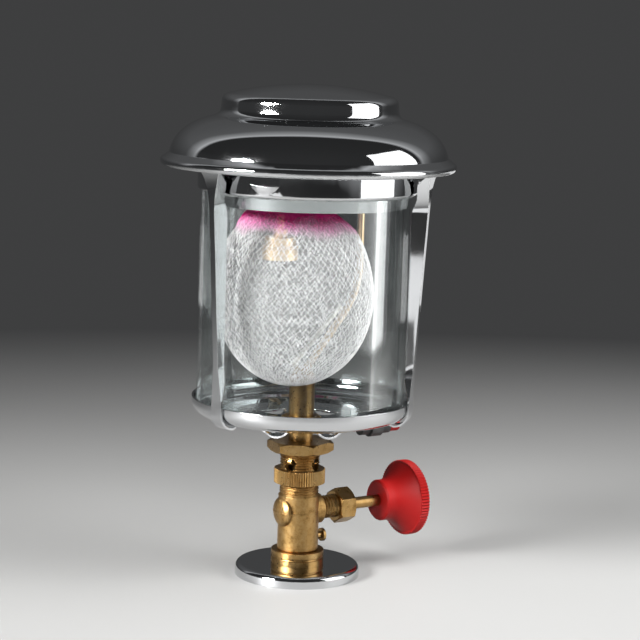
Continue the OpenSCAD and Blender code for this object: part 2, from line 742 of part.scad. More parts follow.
module burner_head() {
    r = head_d / 2;
    cap_r = 0.86 * r;
    skirt_h = 0.6 * head_h;
    hub_r = pipe_r + 1.3;
    hub_h = 3;
    wall = 1.0;
    hole_d = 1.6;
    color(BRASS) translate([-drop_x, 0, z_head]) difference() {
        union() {
            translate([0, 0, -head_h]) cylinder(r = r, h = skirt_h);
            translate([0, 0, -head_h]) cylinder(r = cap_r, h = head_h);
            cylinder(r = hub_r, h = hub_h);
        }
        translate([0, 0, -wall]) cylinder(r = pipe_bore / 2, h = 3 * wall);
        translate([0, 0, seat_gap / 2]) cylinder(r = pipe_r + slip, h = hub_h + cut);
        translate([0, 0, wall - head_h]) cylinder(r = cap_r - wall, h = head_h - 2 * wall);
        translate([0, 0, -head_h - cut]) cylinder(d = hole_d, h = 2 * wall + cut);
        for (a = [0:60:300]) rotate([0, 0, a]) translate([r / 2, 0, -head_h - cut])
            cylinder(d = hole_d, h = 2 * wall + cut);
    }
}

// Mantle: a knitted bag, wide to the front, gathered round the gas pipe's drop and leaning to the front below
mantle_sides = 28;
mantle_z0 = z_rim + mantle_rise;
mantle_mid = mantle_z0 + mantle_h * 0.49;
mantle_top = mantle_z0 + mantle_h;
neck_r = pipe_r + seat_gap + mantle_wall;
gather_h = 4;
tie_h = 7;
neck_top = mantle_top + 11;
drop_u = -drop_x * cos(mantle_angle);
drop_v = drop_x * sin(mantle_angle);
mid_u = drop_u + 5.5;
mid_v = drop_v - 4.5;
low_v = drop_v - 7;
shift_h = 12;
function mantle_u(z) = lookup(z, [[mantle_top - shift_h, mid_u], [mantle_top + gather_h, drop_u]]);
function mantle_v(z) = lookup(z, [[mantle_z0, low_v], [mantle_mid, mid_v], [mantle_top + gather_h, drop_v]]);
function bag_height(t) = t < 0 ? mantle_mid - mantle_z0 : mantle_top - mantle_mid;
function bag_ring(t, in) = let (z = mantle_mid + (bag_height(t) - in) * sin(t), c = cos(t))
    [z, max(neck_r - in, (mantle_w / 2 - in) * c), max(neck_r - in, (mantle_depth / 2 - in) * c)];
function bag_rings(in, top) = concat([for (t = [-84:12:72]) bag_ring(t, in)],
    [[mantle_top, neck_r + 2 - in, neck_r + 1 - in], [mantle_top + gather_h, neck_r - in, neck_r - in],
    [top, neck_r - in, neck_r - in]]);
function bag_points(g) = [for (q = g) for (i = [0:mantle_sides - 1]) let (a = 360 * i / mantle_sides)
    [mantle_u(q[0]) + q[1] * cos(a), mantle_v(q[0]) + q[2] * sin(a), q[0]]];

// Side faces of stacked rings of n points, as triangles, with both ends closed by fans
function skin(rows, n) = [for (j = [0:rows - 2]) for (i = [0:n - 1]) let (k = (i + 1) % n)
    each [[j * n + i, (j + 1) * n + i, j * n + k], [j * n + k, (j + 1) * n + i, (j + 1) * n + k]]];
function fan(first, n, flip) = [for (i = [1:n - 2]) let (p = first + i, q = first + i + 1)
    flip ? [first, q, p] : [first, p, q]];

module bag(in, top) {
    g = bag_rings(in, top);
    faces = concat(skin(len(g), mantle_sides), fan(0, mantle_sides, false),
        fan((len(g) - 1) * mantle_sides, mantle_sides, true));
    polyhedron(bag_points(g), faces);
}

module mantle() {
    color(CLOTH) rotate([0, 0, mantle_angle]) difference() {
        bag(0, neck_top);
        bag(mantle_wall, neck_top + cut);
    }
}

module mantle_tie() {
    cord_r = 0.7;
    color("deeppink") translate([-drop_x, 0, mantle_top + tie_h]) rotate_extrude()
        translate([neck_r + cord_r + slip, 0]) circle(r = cord_r);
}

// Spark electrode: a bent ceramic rod behind the burner tube and the mantle, with a wire in it
wire_r = 0.4;
module electrode_insulator() {
    color(CERAMIC) difference() {
        electrode(insulator_d / 2, 0, electrode_bare);
        electrode(wire_r + slip, cut, 0);
    }
}

module electrode_wire() color(STEEL) electrode(wire_r, 0, 0);

// Push igniter under the dish, hung below its floor in a clip
igniter_x = 26.4;
igniter_drop = 2.6;
igniter_z = floor_z(igniter_x) - seat_gap - igniter_d / 2 - igniter_drop;
igniter_front = igniter_x + igniter_l;
igniter_bore_l = 9.5;
module igniter_at() translate([0, 0, igniter_z]) rotate([0, 90, 0]) children();

module igniter_body() {
    color(RUBBER) igniter_at() difference() {
        translate([0, 0, igniter_x]) cylinder(d = igniter_d, h = igniter_l);
        translate([0, 0, igniter_front - igniter_bore_l])
            cylinder(r = button_d / 2 + slip, h = igniter_bore_l + cut);
    }
}

module igniter_button() {
    back = igniter_front - igniter_bore_l + button_travel + 1;
    tip = igniter_front + button_reach;
    r = button_d / 2;
    edge = 0.8;
    color(RED) igniter_at() rotate_extrude() polygon(concat([[0, back], [r, back]],
        [for (a = [0:15:90]) [r - edge + edge * cos(a), tip - edge + edge * sin(a)]], [[0, tip]]));
}

module igniter_clip() {
    clip_x = igniter_front - 9;
    clip_l = 5;
    clip_t = 0.8;
    clip_w = 4;
    r = igniter_d / 2 + slip;
    color(CHROME) intersection() {
        difference() {
            union() {
                igniter_at() translate([0, 0, clip_x]) cylinder(r = r + clip_t, h = clip_l);
                translate([clip_x, -clip_w / 2, igniter_z]) cube([clip_l, clip_w, dish_rise + igniter_d]);
            }
            igniter_at() translate([0, 0, clip_x - cut]) cylinder(r = r, h = clip_l + 2 * cut);
        }
        rotate_extrude() polygon([[0, 0], [dish_r, 0], [dish_r, z_ledge - ledge_step],
            [floor_edge_r, z_ledge - ledge_step], [dish_flat_d / 2, z_dish], [0, z_dish]]);
    }
}

// Glass and the chromed ring on top of it
module glass() {
    w = glass_wall;
    e = glass_edge;
    color(CLEAR) translate([0, 0, z_glass]) rotate_extrude() translate([glass_r - w, 0])
        polygon([[0, e], [e, 0], [w - e, 0], [w, e],
            [w, glass_h - e], [w - e, glass_h], [e, glass_h], [0, glass_h - e]]);
}

tab_ball_r = 10;
tab_bulge = 1.6;
tab_up = 2.4;
module tab_ball(r) translate([ring_r - tab_ball_r + tab_bulge, 0, z_top + tab_z + tab_up]) sphere(r = r);
module tab_below() translate([0, -ring_r, z_top]) cube([2 * ring_r, 2 * ring_r, tab_z]);

module glass_ring() {
    lip_r = glass_r - glass_wall - seat_gap;
    band_r = 1.2;
    lip_bend_r = 0.7;
    z_seat = z_top + slip;
    lip_top = [lip_r, z_seat - lip_bend_r];
    band = [ring_r - band_r, z_seat + band_r];
    path = concat([[lip_r - ring_lip_in, z_top - ring_lip_l], lip_top],
        concave(lip_top, 0, -90, lip_bend_r, 4),
        [for (a = [-90:30:0]) band + band_r * dir(a)], [[ring_r, z_top + ring_band_h]]);
    lug_w = leg_top_w * 0.6;
    lug_z = z_top + ring_band_h - 2 * ring_sheet;
    lug_l = leg_inner_r(lug_z) - seat_gap;
    color(CHROME) {
        difference() {
            rotate_extrude() polygon(sheet(path, ring_sheet));
            for (i = [0:2]) rotate([0, 0, leg_angle + tab_turn + 120 * i]) intersection() {
                tab_ball(tab_ball_r - ring_sheet);
                tab_below();
            }
        }
        for (i = [0:2]) rotate([0, 0, leg_angle + tab_turn + 120 * i]) intersection() {
            difference() {
                tab_ball(tab_ball_r);
                tab_ball(tab_ball_r - ring_sheet);
                cylinder(r = ring_r - ring_sheet / 2, h = 2 * z_top);
            }
            tab_below();
        }
        for (i = [0:2]) rotate([0, 0, leg_angle + 120 * i]) intersection() {
            translate([0, -lug_w / 2, lug_z]) cube([2 * lug_l, lug_w, ring_sheet]);
            ring(lug_l, ring_r - ring_sheet / 2, z_top, 2 * ring_band_h);
        }
    }
}

// Legs: a sheet channel that tapers down, flares out under the brim and hooks under the dish
leg_n_min = 1.25;
crest_top = [glass_r + leg_depth, z_top + 1];
crest_foot = [dish_r + leg_gap + leg_sheet, z_rim + 1.5];
leg_flare_h = hood_lift + 3.5;
leg_top_r = sqrt(pow(hood_d / 2 - brim_in - hood_sheet - 2 * leg_gap, 2) - pow(leg_top_w / 2, 2));
leg_flare_out = leg_top_r - crest_top[0];
leg_flare_r = (pow(leg_flare_out, 2) + pow(leg_flare_h, 2)) / (2 * leg_flare_out);
leg_flare = asin(leg_flare_h / leg_flare_r);
leg_hook_r = dish_corner_r + leg_gap + leg_sheet;
leg_hook_tip = 1.6;
leg_hook_drop = 1.0;
leg_hook_rise = 0.7;
hook_mid = [crest_foot[0] - leg_hook_r, z_ledge + dish_corner_r - leg_hook_drop];
leg_shoulder = 7;
leg_splay_h = 16;
leg_spread = leg_top_w - leg_crest_w;
leg_width_r = (pow(leg_spread, 2) / 4 + pow(leg_shoulder + leg_flare_h, 2)) / leg_spread;
function flare_x(a) = crest_top[0] + leg_flare_r * (1 - cos(a));
function leg_inner_r(z) = flare_x(asin((z - crest_top[1]) / leg_flare_r)) - leg_sheet;
function crest_r(z) = lookup(z, [[crest_foot[1], crest_foot[0]], [crest_top[1], crest_top[0]]]);
function leg_half_w(z) = z > crest_top[1] - leg_shoulder
    ? leg_crest_w / 2 + leg_width_r - sqrt(pow(leg_width_r, 2) - pow(z - crest_top[1] + leg_shoulder, 2))
    : lookup(z, [[z_rim, leg_foot_w / 2], [z_rim + leg_splay_h, leg_crest_w / 2]]);
leg_least_d = leg_n_min * leg_sheet;
flange_foot_z = crest_foot[1] + 8;
flange_glass_z = z_top - 6;
flange_ring_z = z_top - 1;
function flange_to(z, r, gap) = crest_r(z) - r - gap;
function leg_flange_d(z) = lookup(z, [[crest_foot[1] + 1, leg_least_d],
    [flange_foot_z, flange_to(flange_foot_z, glass_r, leg_gap)],
    [flange_glass_z, flange_to(flange_glass_z, glass_r, leg_gap)],
    [flange_ring_z, flange_to(flange_ring_z, ring_r, 4 * leg_gap)],
    [z_top + 4, flange_to(crest_top[1], ring_r, 4 * leg_gap)],
    [z_top + 8, 2 * leg_sheet], [z_top + 13, leg_least_d]]);

// One cross-section of a leg: crest point, inward normal, half width and flange depth
function leg_section(p, n, w, d) = let (s = leg_sheet, e = p + d * n, f = p + s * n)
    [[e[0], -w, e[1]], [p[0], -w, p[1]], [p[0], w, p[1]], [e[0], w, e[1]],
     [e[0], w - s, e[1]], [f[0], w - s, f[1]], [f[0], s - w, f[1]], [e[0], s - w, e[1]]];
function leg_sections() = concat(
    [for (a = [leg_flare:-leg_flare / 8:0.1]) let (z = crest_top[1] + leg_flare_r * sin(a))
        leg_section([flare_x(a), z], [-cos(a), sin(a)], leg_half_w(z), leg_flange_d(z))],
    [for (z = concat([crest_top[1]], [for (k = [1:4]) crest_top[1] - k * leg_shoulder / 4],
        [z_top - 24, z_rim + 44, z_rim + leg_splay_h], [for (k = [7:-1:1]) crest_foot[1] + k + 1],
        [crest_foot[1]])) leg_section([crest_r(z), z], [-1, 0], leg_half_w(z), leg_flange_d(z))],
    [for (a = [0:15:90]) leg_section([hook_mid[0] + leg_hook_r * cos(a), hook_mid[1] - leg_hook_r * sin(a)],
        [-cos(a), sin(a)], leg_foot_w / 2, leg_least_d)],
    [leg_section(hook_mid - [leg_hook_tip, leg_hook_r - leg_hook_rise], [0, 1],
        leg_foot_w / 2, leg_least_d)]);
function channel_cap(f, flip) = [for (q = [[0, 1, 6], [0, 6, 7], [1, 2, 5], [1, 5, 6], [2, 3, 4], [2, 4, 5]])
    flip ? [f + q[0], f + q[2], f + q[1]] : [f + q[0], f + q[1], f + q[2]]];

module leg(i) {
    g = leg_sections();
    faces = concat(skin(len(g), 8), channel_cap(0, false), channel_cap((len(g) - 1) * 8, true));
    color(CHROME) rotate([0, 0, leg_angle + 120 * i]) polyhedron([for (q = g) each q], faces);
}

// Hood: crown, cove and dome as one bent sheet, with a rolled bead round the brim
crown_tilt = 6;
dome_start = 78;
dome_mid = 54;
dome_end = 12;
bead_r = bead_d / 2;
crown_ball_r = (pow(crown_d / 2, 2) + pow(crown_rise, 2)) / (2 * crown_rise);
crown_turn = asin(crown_d / 2 / crown_ball_r);
hood_crown = concat([[0, 0]], convex([0, 0], 90, 90 - crown_turn, crown_ball_r, 10));
hood_edge = concat(hood_crown, convex(last(hood_crown), 90 - crown_turn, crown_tilt, crown_edge_r));
hood_side = concat(hood_edge, [last(hood_edge) + crown_side_l * [sin(crown_tilt), -cos(crown_tilt)]]);
hood_cove = concat(hood_side, concave(last(hood_side), crown_tilt, dome_start, cove_r));
skirt_r = hood_d / 2 - brim_in;
dome_gain = skirt_r - last(hood_cove)[0] - dome_lower_r * (cos(dome_end) - cos(dome_mid));
dome_upper_r = dome_gain / (cos(dome_mid) - cos(dome_start));
hood_dome = concat(hood_cove, convex(last(hood_cove), dome_start, dome_mid, dome_upper_r));
hood_skirt = concat(hood_dome, convex(last(hood_dome), dome_mid, dome_end, dome_lower_r));
brim_drop = 3.2;
z_bead = z_top + hood_lift + bead_r;
hood_z0 = z_bead + brim_drop - last(hood_skirt)[1];

module hood() {
    brim = [hood_d / 2 - bead_r, z_bead];
    path = [for (p = hood_skirt) p + [0, hood_z0]];
    n = len(path) - 1;
    bead = [for (a = [75:-15:-210]) brim + bead_r * dir(a)];
    inside = [for (i = [n:-1:0]) off_side(path, i, -hood_sheet)];
    color(CHROME) rotate_extrude() polygon(concat(path, bead, inside));
}

foot_plate();
foot_collar();
foot_nut();
valve_body();
socket_seal();
depressor_pin();
gas_jet();
bleed_screw();
valve_needle();
spindle();
gland_packing();
gland_nut();
knob();
knob_screw();
mixer_tube();
air_ring();
dish_washer();
dish();
dish_lock_nut();
burner_tube();
gas_pipe();
burner_head();
mantle();
mantle_tie();
electrode_insulator();
electrode_wire();
igniter_body();
igniter_clip();
igniter_button();
glass();
glass_ring();
leg(1);  // leg_left
leg(0);  // leg_back
leg(2);  // leg_right
hood();
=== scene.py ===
"""Gas lantern: materials, knitted mantle, studio and the photograph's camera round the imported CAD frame."""
import json
import math

import bpy
from mathutils import Matrix, Vector, noise


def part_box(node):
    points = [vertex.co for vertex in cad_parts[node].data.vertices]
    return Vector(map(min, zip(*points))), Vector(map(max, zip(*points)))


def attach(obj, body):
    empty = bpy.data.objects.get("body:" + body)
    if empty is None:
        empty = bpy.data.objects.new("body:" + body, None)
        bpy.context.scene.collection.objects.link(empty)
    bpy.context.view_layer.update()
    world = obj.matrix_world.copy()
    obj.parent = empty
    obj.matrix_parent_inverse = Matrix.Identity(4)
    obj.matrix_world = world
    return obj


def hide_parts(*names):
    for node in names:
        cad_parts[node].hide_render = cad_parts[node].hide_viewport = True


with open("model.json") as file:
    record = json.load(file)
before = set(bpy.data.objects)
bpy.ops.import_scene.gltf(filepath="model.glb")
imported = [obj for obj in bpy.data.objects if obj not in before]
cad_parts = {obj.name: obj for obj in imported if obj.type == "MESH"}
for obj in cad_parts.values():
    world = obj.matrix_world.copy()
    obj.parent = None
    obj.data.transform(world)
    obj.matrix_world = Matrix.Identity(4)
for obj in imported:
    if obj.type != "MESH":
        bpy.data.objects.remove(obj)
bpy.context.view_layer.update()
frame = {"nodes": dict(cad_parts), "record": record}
nodes = frame["nodes"]
scene = bpy.context.scene

MM = 0.001

# The photograph's camera: place in metres, angles in degrees, lens and sensor in millimetres
CAMERA_DISTANCE = 0.76
CAMERA_HEADING = 58.0
CAMERA_HEIGHT = 0.213
CAMERA_PITCH = 8.63
CAMERA_YAW = 0.45
CAMERA_ROLL = 1.75
CAMERA_LENS = 115.4
CAMERA_SENSOR = 36.0
EXPOSURE = -0.3

# Directions as that camera sees them
RIGHT = Vector((0.848, -0.530, 0))
AWAY = Vector((0.530, 0.848, 0))
UP = Vector((0, 0, 1))

# Edges sharper than this angle stay sharp
SHARP = math.radians(35)
# A face whose normal leans further than this out of a revolved piece's profile has left the profile
PROFILE_LEAN = 0.2

# Tarnished, plain and worn brass
BRASS_DARK = (0.22, 0.12, 0.035)
BRASS_LIGHT = (0.50, 0.30, 0.105)
BRASS_PALE = (0.62, 0.41, 0.18)

# The dye at the mantle's top, in metres: where it starts, where it is full, and how ragged its edge is
DYE_START = 0.134
DYE_FULL = 0.142
DYE_RAGGED = 0.006

# The mantle's bag, in millimetres, in a frame turned so that its width faces the camera
MANTLE_TURN = math.radians(-32)
BAG_HALF_WIDTH = 29.5
BAG_HALF_DEPTH = 14.6
BAG_LIFT = 0.4
BAG_BELOW_TIE = 6.4
NECK_RADIUS = 2.35
NECK_BELOW_TOP = 0.3
# The bag hangs beside its neck and in front of it, and comes under it towards the top
HANG_ASIDE = 5.5
HANG_AHEAD_LOW = 7
HANG_AHEAD_WIDEST = 4.5
ASIDE_FROM_TOP = 12
ASIDE_SPAN = 16
AHEAD_PAST_TOP = 4
# Height of the widest place as a share of the bag's, and the angles where its round outline starts and ends
WIDEST_AT = 0.49
OUTLINE_START = -88
OUTLINE_END = 78
# Shares of the cloth in the bag and in the neck, and the share of the neck in which the cloth is drawn in
BAG_SHARE = 0.9
NECK_SHARE = 0.1
DRAWN_IN = 0.45
# Pleats below the neck and waves in the cloth, their depths as shares of its radius
PLEATS = 11
PLEAT_DEPTH = 0.035
WAVE_DEPTH = 0.03
# Fineness of the waves, and its factor for each metre of height
WAVE_FINENESS = 1.6
WAVE_PER_METRE = 30

# The mantle's cloth, and the knit on it: loop heights are in rows, loop widths in loops
VEIL_RINGS = 70
VEIL_SIDES = 120
VEIL_THICKNESS = 0.12
KNIT_ROWS = 56
KNIT_LOOPS = 80
LOOP_STEPS = 6
LOOP_HEIGHT = 0.66
LOOP_WIDTH = 0.28
# Unevenness of the loops, and how fine it is round the bag, from row to row and sideways
LOOP_UNEVEN = 0.9
UNEVEN_ROUND = 6
UNEVEN_PER_ROW = 0.5
UNEVEN_SIDEWAYS = 1.7
# The yarn, and the share of its radius by which it weaves in and out
YARN_RADIUS = 0.065
YARN_SIDES = 4
YARN_WEAVE = 0.5

# The floor, in metres: it is lit round its middle and fades to a far tone between two distances from there
FLOOR_REACH = 9.0
FLOOR_SIDES = 96
FLOOR_MIDDLE = RIGHT * 0.12 - AWAY * 0.80
FADE_START = 0.80
FADE_END = 1.40
# The far floor glows dimly, as the sky above it does, and glows paler in front of the lantern at its right: a
# painted pool of light there
HORIZON = 0.06
FAR_FRONT_GLOW = (0.45, 0.455, 0.464)
FRONT_RIGHT = (RIGHT - AWAY) * 0.7
FRONT_START = 0.5
FRONT_END = 1.4
# The sky's tones from behind the camera, at 0, to behind the lantern, at 1: a bright arch stands between
SKY = ((0.0, 0.05), (0.30, 0.04), (0.625, 0.035), (0.655, 0.75), (0.68, 0.50), (0.76, 0.16), (1.0, 0.10))
SKY_START = 0.06
SKY_FULL = 0.40
# The cards of light that lie over the floor: height in metres, and the slight lean that lays their length
CARD_LIFT = 0.004
CARD_LEAN = 0.05


def new_object(name, data):
    obj = bpy.data.objects.new(name, data)
    scene.collection.objects.link(obj)
    return obj


def camera():
    heading = math.radians(CAMERA_HEADING - CAMERA_YAW)
    pitch = math.radians(CAMERA_PITCH)
    roll = math.radians(CAMERA_ROLL)
    place = math.radians(CAMERA_HEADING)
    forward = Vector((
        math.cos(heading) * math.cos(pitch),
        math.sin(heading) * math.cos(pitch),
        -math.sin(pitch),
    ))
    right = forward.cross(UP).normalized()
    up = right.cross(forward)
    leaned_right = right * math.cos(roll) + up * math.sin(roll)
    leaned_up = up * math.cos(roll) - right * math.sin(roll)
    data = bpy.data.cameras.new("camera")
    data.lens = CAMERA_LENS
    data.sensor_width = CAMERA_SENSOR
    data.clip_start = 0.01
    data.clip_end = 100
    obj = new_object("camera", data)
    obj.matrix_world = Matrix((leaned_right, leaned_up, -forward)).transposed().to_4x4()
    obj.location = (-CAMERA_DISTANCE * math.cos(place), -CAMERA_DISTANCE * math.sin(place), CAMERA_HEIGHT)
    scene.camera = obj


class Nodes:
    """A node tree of a material or the world, with short ways to add and join nodes."""

    def __init__(self, owner, output="ShaderNodeOutputMaterial"):
        owner.use_nodes = True
        self.owner = owner
        self.tree = owner.node_tree
        self.tree.nodes.clear()
        self.out = self.add(output)

    def add(self, kind, operation=None, **constants):
        """A node with constants on its sockets, whose names are given with _ for a space."""
        node = self.tree.nodes.new(kind)
        if operation:
            node.operation = operation
        for name, value in constants.items():
            node.inputs[name.replace("_", " ")].default_value = value
        return node

    def link(self, source, target):
        self.tree.links.new(source, target)

    def place(self):
        return self.add("ShaderNodeTexCoord").outputs["Object"]

    def height(self, source):
        node = self.add("ShaderNodeSeparateXYZ")
        self.link(source, node.inputs["Vector"])
        return node.outputs["Z"]

    def noise(self, scale, detail, roughness, stretch=None):
        texture = self.add("ShaderNodeTexNoise", Scale=scale, Detail=detail, Roughness=roughness)
        source = self.place()
        if stretch:
            mapping = self.add("ShaderNodeMapping", Scale=stretch)
            self.link(source, mapping.inputs["Vector"])
            source = mapping.outputs["Vector"]
        self.link(source, texture.inputs["Vector"])
        return texture.outputs["Fac"]

    def ramp(self, fac, *stops):
        """A colour that runs through stops, each a place and a colour."""
        node = self.add("ShaderNodeValToRGB")
        elements = node.color_ramp.elements
        while len(elements) < len(stops):
            elements.new(0.5)
        for element, (position, colour) in zip(elements, stops):
            element.position = position
            element.color = (*colour, 1)
        self.link(fac, node.inputs["Fac"])
        return node.outputs["Color"]

    def span(self, fac, low, high, start=0.0, end=1.0):
        """A value that goes from low to high while fac goes from start to end."""
        node = self.add("ShaderNodeMapRange", From_Min=start, From_Max=end, To_Min=low, To_Max=high)
        self.link(fac, node.inputs["Value"])
        return node.outputs["Result"]

    def add_scaled(self, source, factor, base):
        """The source times a factor, on top of base."""
        node = self.add("ShaderNodeMath", "MULTIPLY_ADD")
        node.inputs[1].default_value = factor
        self.link(source, node.inputs[0])
        self.link(base, node.inputs[2])
        return node.outputs["Value"]

    def measure(self, operation, source, vector):
        """A number worked out from the source and a fixed vector."""
        node = self.add("ShaderNodeVectorMath", operation)
        node.inputs[1].default_value = vector
        self.link(source, node.inputs[0])
        return node.outputs["Value"]

    def bump(self, height, strength, distance, edge):
        """Bump on top of edges rounded by edge metres, so that they catch the light."""
        rounded = self.add("ShaderNodeBevel", Radius=edge)
        node = self.add("ShaderNodeBump", Strength=strength, Distance=distance)
        self.link(height, node.inputs["Height"])
        self.link(rounded.outputs["Normal"], node.inputs["Normal"])
        return node.outputs["Normal"]

    def principled(self, sources, **constants):
        """A principled shader with sources joined to its sockets by name."""
        shader = self.add("ShaderNodeBsdfPrincipled", **constants)
        for name, source in sources.items():
            self.link(source, shader.inputs[name])
        return shader.outputs["BSDF"]

    def mix(self, share, first, second):
        """Two shaders, with a share of the second that is a number or a socket."""
        node = self.add("ShaderNodeMixShader")
        if isinstance(share, float):
            node.inputs["Fac"].default_value = share
        else:
            self.link(share, node.inputs["Fac"])
        self.link(first, node.inputs[1])
        self.link(second, node.inputs[2])
        return node.outputs["Shader"]

    def finish(self, shader):
        self.link(shader, self.out.inputs["Surface"])
        return self.owner


def material_nodes(name):
    return Nodes(bpy.data.materials.new(name))


def cool_grey(tone):
    """A grey with a little blue."""
    return (tone, tone * 1.01, tone * 1.03)


def chrome():
    n = material_nodes("chrome")
    haze = n.noise(90, 6, 0.65)
    wave = n.noise(22, 2, 0.4)
    sources = {
        "Roughness": n.span(haze, 0.03, 0.08, 0.35, 0.75),
        "Normal": n.bump(wave, strength=0.03, distance=0.0008, edge=0.0003),
    }
    return n.finish(n.principled(sources, Base_Color=(0.60, 0.61, 0.62, 1), Metallic=1.0))


def brass(name, tone, rough, speckle, grain, painted_lift=0.0):
    """Brass clouded by age, with specks of tarnish and a surface grain, made paler by painted light added
    evenly to its colour.
    """
    n = material_nodes(name)
    cloud = n.noise(speckle, 8, 0.7)
    fine = n.noise(900, 3, 0.6)
    dark, light, pale = (
        tuple(channel * tone + painted_lift for channel in colour) for colour in (BRASS_DARK, BRASS_LIGHT, BRASS_PALE)
    )
    sources = {
        "Base Color": n.ramp(cloud, (0.30, dark), (0.46, light), (0.70, pale)),
        "Roughness": n.span(fine, *rough),
        "Normal": n.bump(fine, strength=grain, distance=0.0003, edge=0.0002),
    }
    return n.finish(n.principled(sources, Metallic=1.0))


def steel():
    n = material_nodes("steel")
    grain = n.noise(300, 3, 0.6, stretch=(1, 1, 12))
    sources = {"Roughness": n.span(grain, 0.22, 0.4)}
    return n.finish(n.principled(sources, Base_Color=(0.62, 0.62, 0.63, 1), Metallic=1.0))


def red_plastic():
    n = material_nodes("red_plastic")
    cloud = n.noise(60, 4, 0.5)
    fine = n.noise(1500, 2, 0.5)
    sources = {
        "Base Color": n.ramp(cloud, (0.3, (0.165, 0.002, 0.002)), (0.75, (0.22, 0.004, 0.0035))),
        "Roughness": n.span(fine, 0.42, 0.58),
        "Normal": n.bump(fine, strength=0.12, distance=0.0002, edge=0.0003),
    }
    return n.finish(n.principled(sources, IOR=1.49, Specular_IOR_Level=0.2))


def dark_matte(name, tone):
    n = material_nodes(name)
    cloud = n.noise(400, 4, 0.6)
    sources = {
        "Base Color": n.ramp(cloud, (0.3, (tone, tone, tone)), (0.8, (tone * 2, tone * 2, tone * 2))),
        "Roughness": n.span(cloud, 0.45, 0.7),
        "Normal": n.bump(cloud, strength=0.2, distance=0.0003, edge=0.0002),
    }
    return n.finish(n.principled(sources))


def ceramic():
    n = material_nodes("ceramic")
    cloud = n.noise(250, 5, 0.6)
    sources = {
        "Base Color": n.ramp(cloud, (0.3, (0.78, 0.74, 0.64)), (0.7, (0.90, 0.88, 0.82))),
        "Roughness": n.span(cloud, 0.35, 0.55),
    }
    return n.finish(n.principled(sources))


def clear_glass():
    """Thin clear glass: it bends no light, and shines more towards its edges."""
    n = material_nodes("glass")
    shine = n.add("ShaderNodeBsdfAnisotropic", Color=(1, 1, 1, 1), Roughness=0.06)
    clear = n.add("ShaderNodeBsdfTransparent", Color=(0.965, 0.98, 0.978, 1))
    edge = n.add("ShaderNodeFresnel", IOR=1.45)
    share = n.span(edge.outputs["Fac"], 0, 0.5)
    return n.finish(n.mix(share, clear.outputs["BSDF"], shine.outputs["BSDF"]))


def cloth_colour(n):
    """White, with dye that fades down from the gathered top, and how much dye there is."""
    ragged = n.noise(120, 3, 0.6)
    height = n.add_scaled(ragged, DYE_RAGGED, n.height(n.place()))
    dye = n.span(height, 0, 1, DYE_START, DYE_FULL)
    return n.ramp(dye, (0.0, (0.95, 0.925, 0.93)), (0.4, (0.93, 0.42, 0.68)), (0.75, (0.74, 0.01, 0.27))), dye


def thin_cloth(n, colour):
    """Fibre that scatters light back and lets nearly as much through."""
    face = n.add("ShaderNodeBsdfDiffuse")
    through = n.add("ShaderNodeBsdfTranslucent")
    n.link(colour, face.inputs["Color"])
    n.link(colour, through.inputs["Color"])
    return n.mix(0.45, face.outputs["BSDF"], through.outputs["BSDF"])


def yarn():
    n = material_nodes("mantle_yarn")
    colour, _ = cloth_colour(n)
    silk = n.add("ShaderNodeBsdfAnisotropic", Roughness=0.38)
    return n.finish(n.mix(0.14, thin_cloth(n, colour), silk.outputs["BSDF"]))


def veil():
    """The fuzz between the loops: thin white cloth that lets most light through, less where it is dyed."""
    n = material_nodes("mantle_veil")
    colour, dye = cloth_colour(n)
    clear = n.add("ShaderNodeBsdfTransparent")
    fuzz = n.span(n.noise(700, 4, 0.6), 0.04, 0.155, 0.3, 0.7)
    share = n.add_scaled(dye, 0.5, fuzz)
    return n.finish(n.mix(share, clear.outputs["BSDF"], thin_cloth(n, colour)))


def paint(obj, material):
    obj.data.materials.clear()
    obj.data.materials.append(material)


def smooth(obj):
    """Smooth shading with sharp edges kept."""
    chosen = [obj]
    with bpy.context.temp_override(
        object=obj, active_object=obj, selected_objects=chosen, selected_editable_objects=chosen
    ):
        bpy.ops.object.shade_smooth_by_angle(angle=SHARP)


def turned(vector, place, way):
    """A vector turned about the lantern's axis, out to a place with way 1 or back from it with way -1."""
    return Matrix.Rotation(way * math.atan2(place.y, place.x), 3, "Z") @ vector


def even_normals(obj, revolved):
    """Corner normals that run on from face to face, so that reflections run smoothly.

    A revolved piece takes them from its profile about the lantern's axis, apart from the faces that leave it.
    """
    mesh = obj.data
    out = obj.matrix_world.to_3x3()
    back = out.inverted()
    corners = [tuple(round(c, 7) for c in vertex.co) for vertex in mesh.vertices]
    profile = {}
    around = {}
    for face in mesh.polygons:
        normal = (out @ face.normal).normalized()
        if revolved:
            flat = turned(normal, obj.matrix_world @ face.center, -1)
            in_profile = abs(flat.y) < PROFILE_LEAN
            normal = Vector((flat.x, 0, flat.z)).normalized() if in_profile else None
        profile[face.index] = normal
        for v in face.vertices:
            around.setdefault(corners[v], []).append(face)
    normals = []
    for face in mesh.polygons:
        own = profile[face.index]
        for v in face.vertices:
            if own is None:
                normals.append(face.normal.copy())
                continue
            total = Vector()
            for near in around[corners[v]]:
                other = profile[near.index]
                if other is not None and other.dot(own) > math.cos(SHARP):
                    total += other * near.area
            if revolved:
                total = turned(total, obj.matrix_world @ mesh.vertices[v].co, 1)
            normals.append((back @ total).normalized())
    for face in mesh.polygons:
        face.use_smooth = True
    mesh.normals_split_custom_set(normals)


def mesh_object(name, points, faces, material, body, slot):
    mesh = bpy.data.meshes.new(name)
    mesh.from_pydata(points, [], faces)
    mesh.update()
    for face in mesh.polygons:
        face.use_smooth = True
    obj = new_object(name, mesh)
    paint(obj, material)
    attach(obj, body)
    return obj


